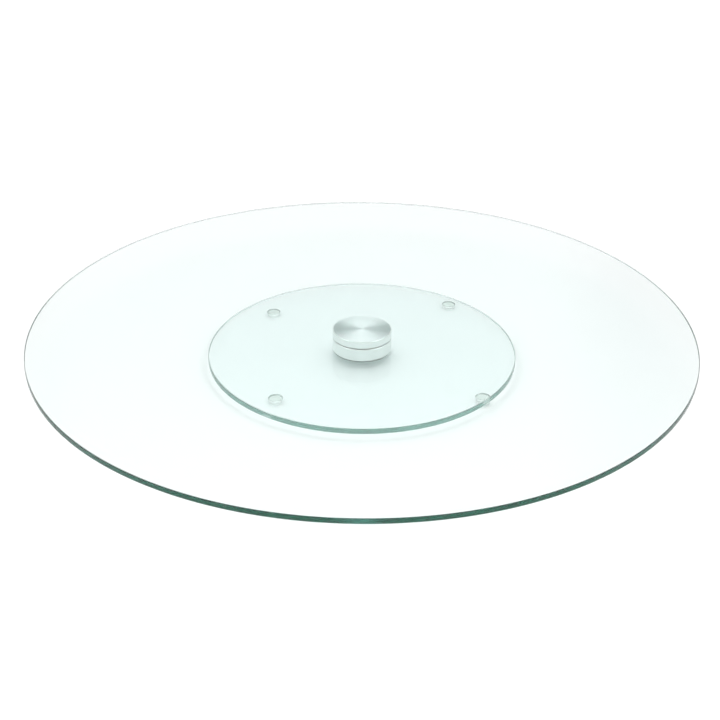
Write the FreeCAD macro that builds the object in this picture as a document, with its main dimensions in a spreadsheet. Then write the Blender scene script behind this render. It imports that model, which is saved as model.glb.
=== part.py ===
import FreeCAD, Part
import Sketcher
import os
import re

# Glass turntable display stand.
#
# A round glass platter turns on a swivel hub that is bonded to a smaller round glass base on four
# clear bumper feet. Everything stands on the hub's upright axis, which is Z. The feet rest on z = 0.
#
# Sizes are in millimetres. The hub's own pieces are drawn with z = 0 at the underside of the hub body
# and are lifted into place by their Placement.

doc = FreeCAD.newDocument("TurntableStand")
sheet = doc.addObject("Spreadsheet::Sheet", "Sizes")

# ---------------------------------------------------------------------------------------------
# Driving dimensions: alias, value, meaning
# ---------------------------------------------------------------------------------------------

DIMENSIONS = [
    ("platter_diameter", 600, "glass platter"),
    ("platter_thickness", 5, "glass platter"),
    ("base_diameter", 280, "glass base"),
    ("base_thickness", 5, "glass base"),
    ("glass_arris", 0.5, "small bevel on each polished glass edge"),
    ("bond_thickness", 0.15, "UV bond film between hub and glass"),
    ("bond_margin", 0.3, "film stops this far inside the face it bonds"),
    ("hub_diameter", 53.5, "hub cap and hub body"),
    ("hub_height", 20.8, "hub, underside of body to top of cap"),
    ("cap_height", 6.9, "hub cap"),
    ("hub_gap", 1, "shadow gap between cap and body"),
    ("edge_bevel", 0.5, "turned bevel on the hub's outer edges"),
    ("toe_inset", 0.7, "how far the hub body draws in at its foot"),
    ("toe_height", 1.8, "height over which it draws in"),
    ("thrust_ball", 3, "thrust ball diameter"),
    ("thrust_count", 24, "thrust balls"),
    ("thrust_pitch", 40, "pitch circle of the thrust balls"),
    ("race_inside", 34, "hardened race"),
    ("race_outside", 46, "hardened race"),
    ("race_thickness", 1.6, "hardened race"),
    ("race_spacing", 2.2, "between the two races' faces"),
    ("thrust_play", 0.02, "ball to groove"),
    ("comb_inside", 35.2, "nylon cage of the thrust balls"),
    ("comb_outside", 44.8, "nylon cage of the thrust balls"),
    ("comb_thickness", 1.4, "nylon cage of the thrust balls"),
    ("comb_pocket", 3.2, "hole for each thrust ball"),
    ("lip_height", 2.5, "lip above the bearing seat"),
    ("lip_bore", 19, "bore of that lip"),
    ("bearing_bore", 10, "deep-groove bearing"),
    ("bearing_outside", 22, "deep-groove bearing"),
    ("bearing_width", 6, "deep-groove bearing"),
    ("bearing_pitch", 16, "pitch circle of its balls"),
    ("bearing_ball", 3.175, "its ball diameter"),
    ("bearing_count", 9, "its balls"),
    ("bearing_play", 0.012, "ball to raceway"),
    ("inner_shoulder", 13.5, "outside of the inner ring"),
    ("outer_shoulder", 18.5, "inside of the outer ring"),
    ("ring_bevel", 0.3, "bevel on the bearing rings"),
    ("shield_outside", 19.4, "dust shield"),
    ("shield_inside", 13.9, "dust shield"),
    ("shield_sheet", 0.25, "dust shield"),
    ("shield_inset", 0.2, "shield below the ring's side face"),
    ("shield_curl", 0.25, "turned-in edge of the shield"),
    ("ribbon_inside", 14.3, "pressed cage of the bearing"),
    ("ribbon_outside", 17.7, "pressed cage of the bearing"),
    ("ribbon_sheet", 0.4, "pressed cage of the bearing"),
    ("ribbon_play", 0.05, "ball to cage pocket"),
    ("rivet_shank", 0.8, "cage rivet"),
    ("rivet_head", 1.2, "cage rivet"),
    ("rivet_rise", 0.35, "height of a rivet's head"),
    ("collar_diameter", 13, "spindle collar, under the cap and on the inner ring"),
    ("spigot_length", 4, "spindle spigot pressed into the cap"),
    ("spindle_short", 0.3, "spindle stops short of the ring's lower face"),
    ("spindle_bevel", 0.4, "bevel on the spindle's ends"),
    ("tap_depth", 8.2, "threaded hole in the spindle"),
    ("washer_diameter", 12, "retaining washer"),
    ("washer_hole", 4.3, "retaining washer"),
    ("washer_thickness", 1, "retaining washer"),
    ("screw_thread", 4, "retaining screw"),
    ("screw_length", 8, "retaining screw below its head"),
    ("screw_head", 7.6, "button head"),
    ("screw_head_height", 2.2, "button head"),
    ("screw_dome", 1.7, "rounding of the button head"),
    ("screw_socket", 2.5, "hexagon socket across its flats"),
    ("screw_socket_depth", 1.3, "hexagon socket"),
    ("foot_diameter", 13, "bumper foot where it meets the glass"),
    ("foot_tread", 11.6, "bumper foot where it meets the table"),
    ("foot_height", 3.85, "bumper foot without its adhesive"),
    ("foot_rounding", 0.9, "bumper foot's lower edge"),
    ("adhesive_diameter", 12, "adhesive disc of a foot"),
    ("adhesive_thickness", 0.15, "adhesive disc of a foot"),
    ("front_left_x", -74, "foot"),
    ("front_left_y", -86, "foot"),
    ("front_right_x", 105, "foot"),
    ("front_right_y", -81, "foot"),
    ("back_left_x", -85.5, "foot"),
    ("back_left_y", 78.5, "foot"),
    ("back_right_x", 84.5, "foot"),
    ("back_right_y", 98.5, "foot"),
]

for row, (alias, value, meaning) in enumerate(DIMENSIONS, start=1):
    sheet.set(f"A{row}", meaning)
    sheet.set(f"B{row}", str(value))
    sheet.setAlias(f"B{row}", alias)
doc.recompute()


def size(expression):
    """The number an expression on the sheet's aliases has now."""
    return float(sheet.evalExpression(expression))


def bound(expression):
    """The expression with each alias written as the document's other objects must name it."""
    aliases = {alias for alias, _, _ in DIMENSIONS}
    return re.sub(
        r"[a-z_]+",
        lambda word: f"Sizes.{word[0]}" if word[0] in aliases else word[0],
        expression,
    )


# ---------------------------------------------------------------------------------------------
# Heights that follow from the driving dimensions. A hub height is counted from the hub's underside.
# ---------------------------------------------------------------------------------------------

BASE_UNDERSIDE = "foot_height + adhesive_thickness"
BASE_FACE = f"{BASE_UNDERSIDE} + base_thickness"
HUB_UNDERSIDE = f"{BASE_FACE} + bond_thickness"
HUB_FACE = f"{HUB_UNDERSIDE} + hub_height"
PLATTER_UNDERSIDE = f"{HUB_FACE} + bond_thickness"

CAP_UNDERSIDE = "(hub_height - cap_height)"
BODY_FACE = f"({CAP_UNDERSIDE} - hub_gap)"
THRUST_PLANE = f"({CAP_UNDERSIDE} - hub_gap / 2)"
LOWER_RACE_FACE = f"({THRUST_PLANE} - race_spacing / 2)"
LOWER_RACE_FLOOR = f"({LOWER_RACE_FACE} - race_thickness)"
UPPER_RACE_FACE = f"({THRUST_PLANE} + race_spacing / 2)"
UPPER_RACE_ROOF = f"({UPPER_RACE_FACE} + race_thickness)"
SEAT_ROOF = f"({BODY_FACE} - lip_height)"
BEARING_UNDERSIDE = f"({SEAT_ROOF} - bearing_width)"
BEARING_PLANE = f"({SEAT_ROOF} - bearing_width / 2)"
SPINDLE_END = f"({BEARING_UNDERSIDE} + spindle_short)"
SPIGOT_TOP = f"({CAP_UNDERSIDE} + spigot_length)"
WASHER_UNDERSIDE = f"({BEARING_UNDERSIDE} - washer_thickness)"


# ---------------------------------------------------------------------------------------------
# Building blocks
# ---------------------------------------------------------------------------------------------


def new_body(label, lift="0"):
    """An empty body under its own label, lifted by an expression."""
    body = doc.addObject("PartDesign::Body", label)
    body.Label = label
    body.AllowCompound = True
    body.setExpression(".Placement.Base.z", bound(lift))
    return body


def origin_feature(body, role):
    """One of the body's own origin planes or axes."""
    return next(item for item in body.Origin.OriginFeatures if item.Role == role)


def attach(feature, body, role="XY_Plane", height="0", radius="0"):
    """Put a sketch or a primitive on an origin plane, moved up it and out from the axis."""
    feature.AttachmentSupport = (origin_feature(body, role), "")
    feature.MapMode = "FlatFace"
    feature.setExpression(".AttachmentOffset.Base.x", bound(radius))
    feature.setExpression(".AttachmentOffset.Base.z", bound(height))


def pin_coordinate(sketch, direction, line, expression):
    """Hold the start of a sketch line at a distance from the sketch's origin, bound to the sheet."""
    value = size(expression)
    if abs(value) < 1e-9:
        axis = -2 if direction == "DistanceX" else -1
        sketch.addConstraint(Sketcher.Constraint("PointOnObject", line, 1, axis))
        return
    constraint = sketch.addConstraint(Sketcher.Constraint(direction, -1, 1, line, 1, value))
    sketch.setExpression(f"Constraints[{constraint}]", bound(expression))


def turned(body, name, outline):
    """Revolve a closed outline of (radius, height) corners about Z."""
    sketch = body.newObject("Sketcher::SketchObject", f"{name}_outline")
    attach(sketch, body, "XZ_Plane")
    corners = [FreeCAD.Vector(size(radius), size(height), 0) for radius, height in outline]
    following = corners[1:] + corners[:1]
    sketch.addGeometry([Part.LineSegment(a, b) for a, b in zip(corners, following)], False)
    for line in range(len(corners)):
        meeting = Sketcher.Constraint("Coincident", line, 2, (line + 1) % len(corners), 1)
        sketch.addConstraint(meeting)
    for line, (radius, height) in enumerate(outline):
        pin_coordinate(sketch, "DistanceX", line, radius)
        pin_coordinate(sketch, "DistanceY", line, height)
    doc.recompute()
    revolution = body.newObject("PartDesign::Revolution", name)
    revolution.Profile = sketch
    revolution.ReferenceAxis = (sketch, ["V_Axis"])
    revolution.Angle = 360
    sketch.Visibility = False
    return revolution


def circle_sketch(body, name, diameters, height="0", radius="0"):
    """Concentric circles in a level sketch."""
    sketch = body.newObject("Sketcher::SketchObject", name)
    attach(sketch, body, height=height, radius=radius)
    for number, diameter in enumerate(diameters):
        outline = Part.Circle(FreeCAD.Vector(0, 0, 0), FreeCAD.Vector(0, 0, 1), size(diameter) / 2)
        sketch.addGeometry(outline, False)
        sketch.addConstraint(Sketcher.Constraint("Coincident", number, 3, -1, 1))
        ring = sketch.addConstraint(Sketcher.Constraint("Diameter", number, size(diameter)))
        sketch.setExpression(f"Constraints[{ring}]", bound(diameter))
    doc.recompute()
    sketch.Visibility = False
    return sketch


def padded(body, name, diameters, thickness, height="0", radius="0"):
    """Pad concentric circles upwards into a disc or a ring."""
    pad = body.newObject("PartDesign::Pad", name)
    pad.Profile = circle_sketch(body, f"{name}_outline", diameters, height, radius)
    pad.setExpression("Length", bound(thickness))
    return pad


def pocketed(body, name, diameters, height="0", radius="0"):
    """Cut concentric circles through everything, both ways from their sketch."""
    pocket = body.newObject("PartDesign::Pocket", name)
    pocket.Profile = circle_sketch(body, f"{name}_outline", diameters, height, radius)
    pocket.Type = "ThroughAll"
    pocket.Midplane = True
    return pocket


def ball(body, kind, name, radius, height, pitch_radius):
    """An additive or subtractive sphere on a pitch circle."""
    sphere = body.newObject(f"PartDesign::{kind}Sphere", name)
    attach(sphere, body, height=height, radius=pitch_radius)
    sphere.setExpression("Radius", bound(radius))
    doc.recompute()
    return sphere


def ball_groove(body, name, pitch, section, height):
    """Cut the round groove that the balls run in."""
    torus = body.newObject("PartDesign::SubtractiveTorus", name)
    attach(torus, body, height=height)
    torus.setExpression("Radius1", bound(f"{pitch} / 2"))
    torus.setExpression("Radius2", bound(section))
    doc.recompute()
    return torus


def around(body, name, features, count):
    """Repeat features evenly round the axis and make the pattern the body's tip."""
    doc.recompute()
    pattern = body.newObject("PartDesign::PolarPattern", name)
    pattern.Originals = features
    pattern.Axis = (origin_feature(body, "Z_Axis"), [""])
    pattern.Angle = 360
    pattern.setExpression("Occurrences", bound(count))
    body.Tip = pattern
    doc.recompute()
    return pattern


def rims(body, diameter, heights):
    """Names of the body's circular edges of one diameter, one edge for each height."""
    wanted = [(size(diameter) / 2, size(height)) for height in heights]
    found = []
    for number, edge in enumerate(body.Tip.Shape.Edges, start=1):
        if not isinstance(edge.Curve, Part.Circle):
            continue
        here = (edge.Curve.Radius, edge.Curve.Center.z)
        if any(abs(here[0] - radius) + abs(here[1] - height) < 1e-4 for radius, height in wanted):
            found.append(f"Edge{number}")
    if len(found) != len(heights):
        raise RuntimeError(f"{body.Label}: {len(found)} rims found for {len(heights)} heights")
    return found


def edged(body, kind, name, breadth, diameter, heights):
    """Chamfer or fillet the rims of one diameter at the given heights."""
    doc.recompute()
    base = body.Tip
    names = rims(body, diameter, heights)
    dressing = body.newObject(f"PartDesign::{kind}", name)
    dressing.Base = (base, names)
    dressing.setExpression("Size" if kind == "Chamfer" else "Radius", bound(breadth))
    doc.recompute()
    return dressing


def turn_half_a_step(feature):
    """Move a feature on the bearing's pitch circle to halfway between two balls."""
    half_step = "180 deg / bearing_count"
    feature.setExpression(".AttachmentOffset.Base.x", bound(f"bearing_pitch / 2 * cos({half_step})"))
    feature.setExpression(".AttachmentOffset.Base.y", bound(f"bearing_pitch / 2 * sin({half_step})"))
    doc.recompute()


def hexagon(sketch, across_flats):
    """Draw a regular hexagon on the sketch's origin, bound to its size across the flats."""
    corner = FreeCAD.Vector(0, size(across_flats) / 3**0.5, 0)
    sixth = FreeCAD.Rotation(FreeCAD.Vector(0, 0, 1), 60)
    corners = [corner]
    for _ in range(5):
        corners.append(sixth.multVec(corners[-1]))
    following = corners[1:] + corners[:1]
    sketch.addGeometry([Part.LineSegment(a, b) for a, b in zip(corners, following)], False)
    round_it = Part.Circle(FreeCAD.Vector(0, 0, 0), FreeCAD.Vector(0, 0, 1), corner.Length)
    sketch.addGeometry(round_it, True)
    sketch.addConstraint(Sketcher.Constraint("Coincident", 6, 3, -1, 1))
    radius = sketch.addConstraint(Sketcher.Constraint("Radius", 6, corner.Length))
    sketch.setExpression(f"Constraints[{radius}]", bound(f"{across_flats} / sqrt(3)"))
    for side in range(6):
        sketch.addConstraint(Sketcher.Constraint("Coincident", side, 2, (side + 1) % 6, 1))
        sketch.addConstraint(Sketcher.Constraint("PointOnObject", side, 1, 6))
    for side in range(1, 6):
        sketch.addConstraint(Sketcher.Constraint("Equal", 0, side))
    sketch.addConstraint(Sketcher.Constraint("PointOnObject", 0, 1, -2))
    doc.recompute()


# ---------------------------------------------------------------------------------------------
# Glass plates and bond films
# ---------------------------------------------------------------------------------------------


def glass_plate(label, diameter, thickness, underside):
    """A round plate with a polished edge, bevelled a little at both rims."""
    body = new_body(label, underside)
    padded(body, f"{label}_blank", [diameter], thickness)
    edged(body, "Chamfer", f"{label}_arris", "glass_arris", diameter, ["0", thickness])
    return body


def platter_film():
    """The full disc of bond between the cap and the platter."""
    body = new_body("platter_bond_film", HUB_FACE)
    padded(body, "platter_film", ["hub_diameter - 2 * (edge_bevel + bond_margin)"], "bond_thickness")
    return body


def base_film():
    """The ring of bond between the open underside of the hub body and the base."""
    body = new_body("base_bond_film", BASE_FACE)
    outside = "hub_diameter - 2 * (toe_inset + bond_margin)"
    padded(body, "base_film", [outside, "bearing_outside + 2 * bond_margin"], "bond_thickness")
    return body


# ---------------------------------------------------------------------------------------------
# Hub: turned aluminium pieces
# ---------------------------------------------------------------------------------------------


def hub_cap():
    """The turning half: a recess for the upper race and a blind bore for the spindle."""
    body = new_body("hub_cap", HUB_UNDERSIDE)
    turned(body, "cap_blank", [
        ("0", SPIGOT_TOP),
        ("bearing_bore / 2", SPIGOT_TOP),
        ("bearing_bore / 2", CAP_UNDERSIDE),
        ("race_inside / 2", CAP_UNDERSIDE),
        ("race_inside / 2", UPPER_RACE_ROOF),
        ("race_outside / 2", UPPER_RACE_ROOF),
        ("race_outside / 2", CAP_UNDERSIDE),
        ("hub_diameter / 2", CAP_UNDERSIDE),
        ("hub_diameter / 2", "hub_height"),
        ("0", "hub_height"),
    ])
    edged(body, "Chamfer", "cap_bevel", "edge_bevel", "hub_diameter", [CAP_UNDERSIDE, "hub_height"])
    return body


def hub_body():
    """The standing half: a seat for the bearing under a lip, and a recess for the lower race."""
    body = new_body("hub_body", HUB_UNDERSIDE)
    turned(body, "body_blank", [
        ("bearing_outside / 2", "0"),
        ("hub_diameter / 2 - toe_inset", "0"),
        ("hub_diameter / 2", "toe_height"),
        ("hub_diameter / 2", BODY_FACE),
        ("race_outside / 2", BODY_FACE),
        ("race_outside / 2", LOWER_RACE_FLOOR),
        ("race_inside / 2", LOWER_RACE_FLOOR),
        ("race_inside / 2", BODY_FACE),
        ("lip_bore / 2", BODY_FACE),
        ("lip_bore / 2", SEAT_ROOF),
        ("bearing_outside / 2", SEAT_ROOF),
    ])
    edged(body, "Chamfer", "body_bevel", "edge_bevel", "hub_diameter", [BODY_FACE])
    return body


# ---------------------------------------------------------------------------------------------
# Thrust bearing: two races, a nylon cage and its balls
# ---------------------------------------------------------------------------------------------


def thrust_race(label, underside):
    """A hardened ring with the ball groove in the face that looks at the other race."""
    body = new_body(label, HUB_UNDERSIDE)
    padded(body, f"{label}_ring", ["race_outside", "race_inside"], "race_thickness", underside)
    ball_groove(body, f"{label}_groove", "thrust_pitch", "thrust_ball / 2 + thrust_play", THRUST_PLANE)
    return body


def thrust_cage():
    """A flat nylon ring with a hole for each ball."""
    body = new_body("thrust_cage", HUB_UNDERSIDE)
    underside = f"{THRUST_PLANE} - comb_thickness / 2"
    padded(body, "comb", ["comb_outside", "comb_inside"], "comb_thickness", underside)
    pocket = pocketed(body, "comb_pocket", ["comb_pocket"], underside, "thrust_pitch / 2")
    around(body, "comb_pockets", [pocket], "thrust_count")
    return body


def thrust_balls():
    """The ring of balls that carries the platter."""
    body = new_body("thrust_balls", HUB_UNDERSIDE)
    first = ball(body, "Additive", "thrust_ball_one", "thrust_ball / 2", THRUST_PLANE, "thrust_pitch / 2")
    around(body, "thrust_ball_ring", [first], "thrust_count")
    return body


# ---------------------------------------------------------------------------------------------
# Deep-groove bearing
# ---------------------------------------------------------------------------------------------


def bearing_inner_ring():
    """The ring on the spindle."""
    body = new_body("bearing_inner_ring", HUB_UNDERSIDE)
    padded(body, "inner_blank", ["inner_shoulder", "bearing_bore"], "bearing_width", BEARING_UNDERSIDE)
    edged(body, "Chamfer", "inner_bevel", "ring_bevel", "bearing_bore", [BEARING_UNDERSIDE, SEAT_ROOF])
    ball_groove(body, "inner_raceway", "bearing_pitch", "bearing_ball / 2 + bearing_play", BEARING_PLANE)
    return body


def bearing_outer_ring():
    """The ring in the hub body, counterbored on both sides for the shields."""
    step = "(shield_inset + shield_sheet)"
    body = new_body("bearing_outer_ring", HUB_UNDERSIDE)
    turned(body, "outer_blank", [
        ("bearing_outside / 2", BEARING_UNDERSIDE),
        ("bearing_outside / 2", SEAT_ROOF),
        ("shield_outside / 2", SEAT_ROOF),
        ("shield_outside / 2", f"{SEAT_ROOF} - {step}"),
        ("outer_shoulder / 2", f"{SEAT_ROOF} - {step}"),
        ("outer_shoulder / 2", f"{BEARING_UNDERSIDE} + {step}"),
        ("shield_outside / 2", f"{BEARING_UNDERSIDE} + {step}"),
        ("shield_outside / 2", BEARING_UNDERSIDE),
    ])
    edged(body, "Chamfer", "outer_bevel", "ring_bevel", "bearing_outside", [BEARING_UNDERSIDE, SEAT_ROOF])
    ball_groove(body, "outer_raceway", "bearing_pitch", "bearing_ball / 2 + bearing_play", BEARING_PLANE)
    return body


def bearing_balls():
    """The ring of balls in the deep-groove bearing."""
    body = new_body("bearing_balls", HUB_UNDERSIDE)
    first = ball(body, "Additive", "bearing_ball_one", "bearing_ball / 2", BEARING_PLANE, "bearing_pitch / 2")
    around(body, "bearing_ball_ring", [first], "bearing_count")
    return body


def bearing_shield(label, side):
    """A pressed dust shield, side +1 above the balls and -1 below, with its inner edge turned in."""
    face, inwards = (SEAT_ROOF, "-") if side > 0 else (BEARING_UNDERSIDE, "+")
    outer = f"{face} {inwards} shield_inset"
    inner = f"{face} {inwards} (shield_inset + shield_sheet)"
    curl = f"{face} {inwards} (shield_inset + shield_sheet + shield_curl)"
    body = new_body(label, HUB_UNDERSIDE)
    turned(body, f"{label}_pressing", [
        ("shield_inside / 2", outer),
        ("shield_outside / 2", outer),
        ("shield_outside / 2", inner),
        ("shield_inside / 2 + shield_sheet", inner),
        ("shield_inside / 2 + shield_sheet", curl),
        ("shield_inside / 2", curl),
    ])
    return body


def half_ribbon(label, side):
    """One pressed half of the cage: a flat ring that bulges round each ball.

    The bulges are spheres fused to the ring, trimmed to its breadth and to one side of the ball
    plane, and hollowed by slightly smaller spheres.
    """
    pitch_radius = "bearing_pitch / 2"
    pocket = "bearing_ball / 2 + ribbon_play"
    body = new_body(label, HUB_UNDERSIDE)
    floor = BEARING_PLANE if side > 0 else f"{BEARING_PLANE} - ribbon_sheet"
    padded(body, f"{label}_ring", ["ribbon_outside", "ribbon_inside"], "ribbon_sheet", floor)
    bulge = ball(body, "Additive", f"{label}_bulge", f"{pocket} + ribbon_sheet", BEARING_PLANE, pitch_radius)
    around(body, f"{label}_bulges", [bulge], "bearing_count")
    pocketed(body, f"{label}_outer_trim", ["bearing_outside", "ribbon_outside"], BEARING_PLANE)
    pocketed(body, f"{label}_inner_trim", ["ribbon_inside"], BEARING_PLANE)
    halving = body.newObject("PartDesign::Pocket", f"{label}_halving")
    halving.Profile = circle_sketch(body, f"{label}_halving_outline", ["bearing_outside"], BEARING_PLANE)
    halving.Type = "ThroughAll"
    halving.Reversed = side < 0
    doc.recompute()
    hollow = ball(body, "Subtractive", f"{label}_hollow", pocket, BEARING_PLANE, pitch_radius)
    around(body, f"{label}_hollows", [hollow], "bearing_count")
    between = pocketed(body, f"{label}_rivet_hole", ["rivet_shank"], BEARING_PLANE, pitch_radius)
    turn_half_a_step(between.Profile[0])
    around(body, f"{label}_rivet_holes", [between], "bearing_count")
    return body


def bearing_cage_rivets():
    """The rivets between the balls, each a shank with a flat head on both sides."""
    body = new_body("bearing_cage_rivets", HUB_UNDERSIDE)
    shank_end = "(ribbon_sheet + rivet_rise)"
    pieces = [
        padded(body, "rivet_shank", ["rivet_shank"], f"2 * {shank_end}", f"{BEARING_PLANE} - {shank_end}"),
        padded(body, "rivet_head", ["rivet_head"], "rivet_rise", f"{BEARING_PLANE} + ribbon_sheet"),
        padded(body, "rivet_tail", ["rivet_head"], "rivet_rise", f"{BEARING_PLANE} - {shank_end}"),
    ]
    for piece in pieces:
        turn_half_a_step(piece.Profile[0])
    around(body, "rivet_ring", pieces, "bearing_count")
    return body


# ---------------------------------------------------------------------------------------------
# Spindle and what holds it
# ---------------------------------------------------------------------------------------------


def spindle():
    """A spigot pressed into the cap, a collar, and a shaft through the bearing, tapped from below."""
    body = new_body("spindle", HUB_UNDERSIDE)
    turned(body, "spindle_blank", [
        ("0", SPINDLE_END),
        ("bearing_bore / 2", SPINDLE_END),
        ("bearing_bore / 2", SEAT_ROOF),
        ("collar_diameter / 2", SEAT_ROOF),
        ("collar_diameter / 2", CAP_UNDERSIDE),
        ("bearing_bore / 2", CAP_UNDERSIDE),
        ("bearing_bore / 2", SPIGOT_TOP),
        ("0", SPIGOT_TOP),
    ])
    edged(body, "Chamfer", "spindle_ends", "spindle_bevel", "bearing_bore", [SPINDLE_END, SPIGOT_TOP])
    tapped = body.newObject("PartDesign::Hole", "spindle_tapping")
    tapped.Profile = circle_sketch(body, "spindle_tapping_centre", ["screw_thread"], SPINDLE_END)
    tapped.Reversed = True
    tapped.DepthType = "Dimension"
    tapped.DrillPoint = "Angled"
    tapped.setExpression("Diameter", bound("screw_thread"))
    tapped.setExpression("Depth", bound("tap_depth"))
    doc.recompute()
    return body


def retaining_washer():
    """The washer that clamps the bearing's inner ring against the collar."""
    body = new_body("retaining_washer", HUB_UNDERSIDE)
    padded(body, "washer", ["washer_diameter", "washer_hole"], "washer_thickness", WASHER_UNDERSIDE)
    return body


def retaining_screw():
    """The button-head screw up into the spindle, driven by a hexagon socket."""
    body = new_body("retaining_screw", HUB_UNDERSIDE)
    head_underside = f"({WASHER_UNDERSIDE} - screw_head_height)"
    padded(body, "screw_head", ["screw_head"], "screw_head_height", head_underside)
    edged(body, "Fillet", "screw_dome", "screw_dome", "screw_head", [head_underside])
    padded(body, "screw_shank", ["screw_thread"], "screw_length", WASHER_UNDERSIDE)
    doc.recompute()
    tip = f"{WASHER_UNDERSIDE} + screw_length"
    edged(body, "Chamfer", "screw_point", "spindle_bevel", "screw_thread", [tip])
    socket_sketch = body.newObject("Sketcher::SketchObject", "screw_socket_outline")
    attach(socket_sketch, body, height=head_underside)
    hexagon(socket_sketch, "screw_socket")
    socket = body.newObject("PartDesign::Pocket", "screw_socket")
    socket.Profile = socket_sketch
    socket.Reversed = True
    socket.setExpression("Length", bound("screw_socket_depth"))
    doc.recompute()
    return body


# ---------------------------------------------------------------------------------------------
# Feet
# ---------------------------------------------------------------------------------------------


def place_foot(body, corner):
    """Set a body on the centre of one of the four feet."""
    body.setExpression(".Placement.Base.x", bound(f"{corner}_x"))
    body.setExpression(".Placement.Base.y", bound(f"{corner}_y"))


def foot(corner):
    """A clear bumper that tapers to a rounded tread."""
    body = new_body(f"foot_{corner}")
    turned(body, f"foot_{corner}_bumper", [
        ("0", "0"),
        ("foot_tread / 2", "0"),
        ("foot_diameter / 2", "foot_height"),
        ("0", "foot_height"),
    ])
    edged(body, "Fillet", f"foot_{corner}_rounding", "foot_rounding", "foot_tread", ["0"])
    place_foot(body, corner)
    return body


def foot_adhesive(corner):
    """The adhesive disc between a bumper and the glass."""
    body = new_body(f"foot_adhesive_{corner}", "foot_height")
    padded(body, f"adhesive_{corner}", ["adhesive_diameter"], "adhesive_thickness")
    place_foot(body, corner)
    return body


# ---------------------------------------------------------------------------------------------
# The whole stand
# ---------------------------------------------------------------------------------------------

CORNERS = ["front_left", "front_right", "back_left", "back_right"]

pieces = [
    glass_plate("platter_glass", "platter_diameter", "platter_thickness", PLATTER_UNDERSIDE),
    glass_plate("base_glass", "base_diameter", "base_thickness", BASE_UNDERSIDE),
    platter_film(),
    base_film(),
    hub_cap(),
    hub_body(),
    thrust_race("upper_thrust_race", UPPER_RACE_FACE),
    thrust_race("lower_thrust_race", LOWER_RACE_FLOOR),
    thrust_cage(),
    thrust_balls(),
    bearing_inner_ring(),
    bearing_outer_ring(),
    bearing_balls(),
    bearing_shield("bearing_shield_upper", 1),
    bearing_shield("bearing_shield_lower", -1),
    half_ribbon("bearing_cage_upper", 1),
    half_ribbon("bearing_cage_lower", -1),
    bearing_cage_rivets(),
    spindle(),
    retaining_washer(),
    retaining_screw(),
]
pieces += [foot(corner) for corner in CORNERS]
pieces += [foot_adhesive(corner) for corner in CORNERS]

doc.recompute()
for item in doc.Objects:
    if {"Invalid", "Error"} & set(item.State):
        raise RuntimeError(f"{item.Label} failed: {item.State}")
for piece in pieces:
    if piece.Shape.isNull() or not piece.Shape.isValid() or not piece.Shape.Solids:
        raise RuntimeError(f"{piece.Label} has no sound solid")

os.makedirs("parts", exist_ok=True)
for piece in pieces:
    piece.Shape.exportStep(f"parts/{piece.Label}.step")
    print(f"{piece.Label}: {len(piece.Shape.Solids)} solids, {piece.Shape.Volume:.1f} mm3")
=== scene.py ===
import logging
import math
from collections.abc import Sequence
from dataclasses import dataclass
from enum import Enum

import bpy
import numpy as np
from mathutils import Matrix, Vector


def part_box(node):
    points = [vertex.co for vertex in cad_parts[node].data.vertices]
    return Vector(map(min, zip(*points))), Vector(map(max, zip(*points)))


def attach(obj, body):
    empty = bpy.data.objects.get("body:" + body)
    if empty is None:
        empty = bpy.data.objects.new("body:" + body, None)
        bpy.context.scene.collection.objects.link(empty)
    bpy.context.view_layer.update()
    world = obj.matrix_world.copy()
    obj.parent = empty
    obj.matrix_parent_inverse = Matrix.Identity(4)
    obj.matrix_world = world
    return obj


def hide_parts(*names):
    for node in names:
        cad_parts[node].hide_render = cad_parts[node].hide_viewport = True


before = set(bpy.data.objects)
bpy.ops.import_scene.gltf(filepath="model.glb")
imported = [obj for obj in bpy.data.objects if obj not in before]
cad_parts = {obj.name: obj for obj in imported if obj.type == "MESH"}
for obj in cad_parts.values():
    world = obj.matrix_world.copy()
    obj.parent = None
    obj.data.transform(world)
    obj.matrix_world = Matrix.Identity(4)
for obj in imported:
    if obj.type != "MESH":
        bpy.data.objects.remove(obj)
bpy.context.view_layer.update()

# Glass turntable display stand.
#
# A large round glass platter turns on a low aluminium hub, which is bonded to a smaller round glass
# base on four clear bumper feet. Glass, bond, hub and feet are turned here as fine surfaces of
# revolution; the bearings and the spindle keep their CAD meshes and are dressed.
# Lengths are in metres, and everything stands on the Z axis with the feet on z = 0.

LOG = logging.getLogger("stand")
MM = 0.001
UV_NAME = "turned"
# A plain step this close to a rounding, as a share of the longest step, is left out.
CROWDED = 0.2


class Body(Enum):
    """The bodies that the turned pieces ride on."""

    BASE = "base"
    PLATTER = "platter"


class Slot(Enum):
    """The record's material slots for the turned pieces."""

    GLASS = "glass"
    BOND_FILM = "bond_film"
    HUB_ALUMINIUM = "hub_aluminium"
    BUMPER = "bumper"
    ADHESIVE = "adhesive"


class Corner(Enum):
    """The four feet, named as seen from the front."""

    FRONT_LEFT = "front_left"
    FRONT_RIGHT = "front_right"
    BACK_LEFT = "back_left"
    BACK_RIGHT = "back_right"


# ----------------------------------------
# Colour and shader helpers
# ----------------------------------------


def linear(colour: str) -> tuple[float, float, float, float]:
    """Turns an sRGB hex colour into the linear colour a shader socket takes.

    Args:
        colour: six hex digits after a hash, such as "#d8dcda".

    Returns:
        Red, green, blue and an alpha of 1, linear.
    """
    srgb = np.array([int(colour[i : i + 2], 16) for i in (1, 3, 5)]) / 255.0
    rgb = np.where(srgb <= 0.04045, srgb / 12.92, ((srgb + 0.055) / 1.055) ** 2.4)
    return (float(rgb[0]), float(rgb[1]), float(rgb[2]), 1.0)


def per_metre(feature_mm: float) -> float:
    """The noise scale whose features are about this many millimetres across."""
    return 1.0 / (feature_mm * MM)


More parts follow.
